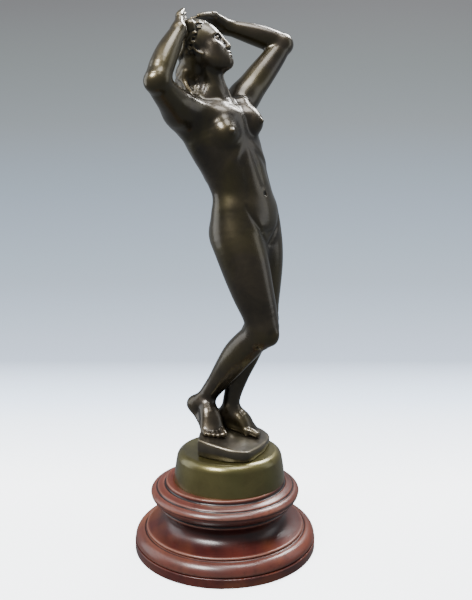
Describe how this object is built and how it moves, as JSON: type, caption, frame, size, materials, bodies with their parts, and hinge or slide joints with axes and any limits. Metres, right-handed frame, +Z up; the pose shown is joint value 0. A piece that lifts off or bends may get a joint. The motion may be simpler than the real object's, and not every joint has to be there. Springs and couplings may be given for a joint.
{
  "type": "bronze statuette",
  "caption": "Standing female figure in patinated bronze with both hands raised to bound-up hair, on a sloping slab and round bronze drum, on a turned wood socle.",
  "frame": {"origin": "centre of the round underside, where the baize rests", "axes": "+Z up; -Y is the side seen first, +X is the way the figure leans and looks"},
  "size_m": [0.126, 0.126, 0.3657],
  "materials": {
    "figure_patina": "dark brown bronze patina, satin wax",
    "terrace_patina": "dark brown patina worn golden at the edges",
    "drum_patina": "olive brown patina, satin",
    "turned_wood": "red mahogany stain under french polish",
    "baize": "matt woven wool",
    "steel": "plain turned steel",
    "joint_bronze": "bare bronze"
  },
  "bodies": {
    "root": {"body_casting": "figure_patina", "head_casting": "figure_patina", "right_arm_casting": "figure_patina", "left_arm_casting": "figure_patina", "terrace_casting": "terrace_patina", "drum_casting": "drum_patina", "socle_foot_disc": "turned_wood", "socle_lower_moulding": "turned_wood", "socle_upper_moulding": "turned_wood", "baize_disc": "baize", "tie_rod": "steel", "tie_washer": "steel", "tie_nut": "steel", "wood_screws": "steel", "figure_screws": "steel", "figure_screw_washers": "steel", "neck_stud": "joint_bronze", "right_shoulder_stud": "joint_bronze", "left_shoulder_stud": "joint_bronze", "hand_pins": "joint_bronze"}
  },
  "joints": []
}
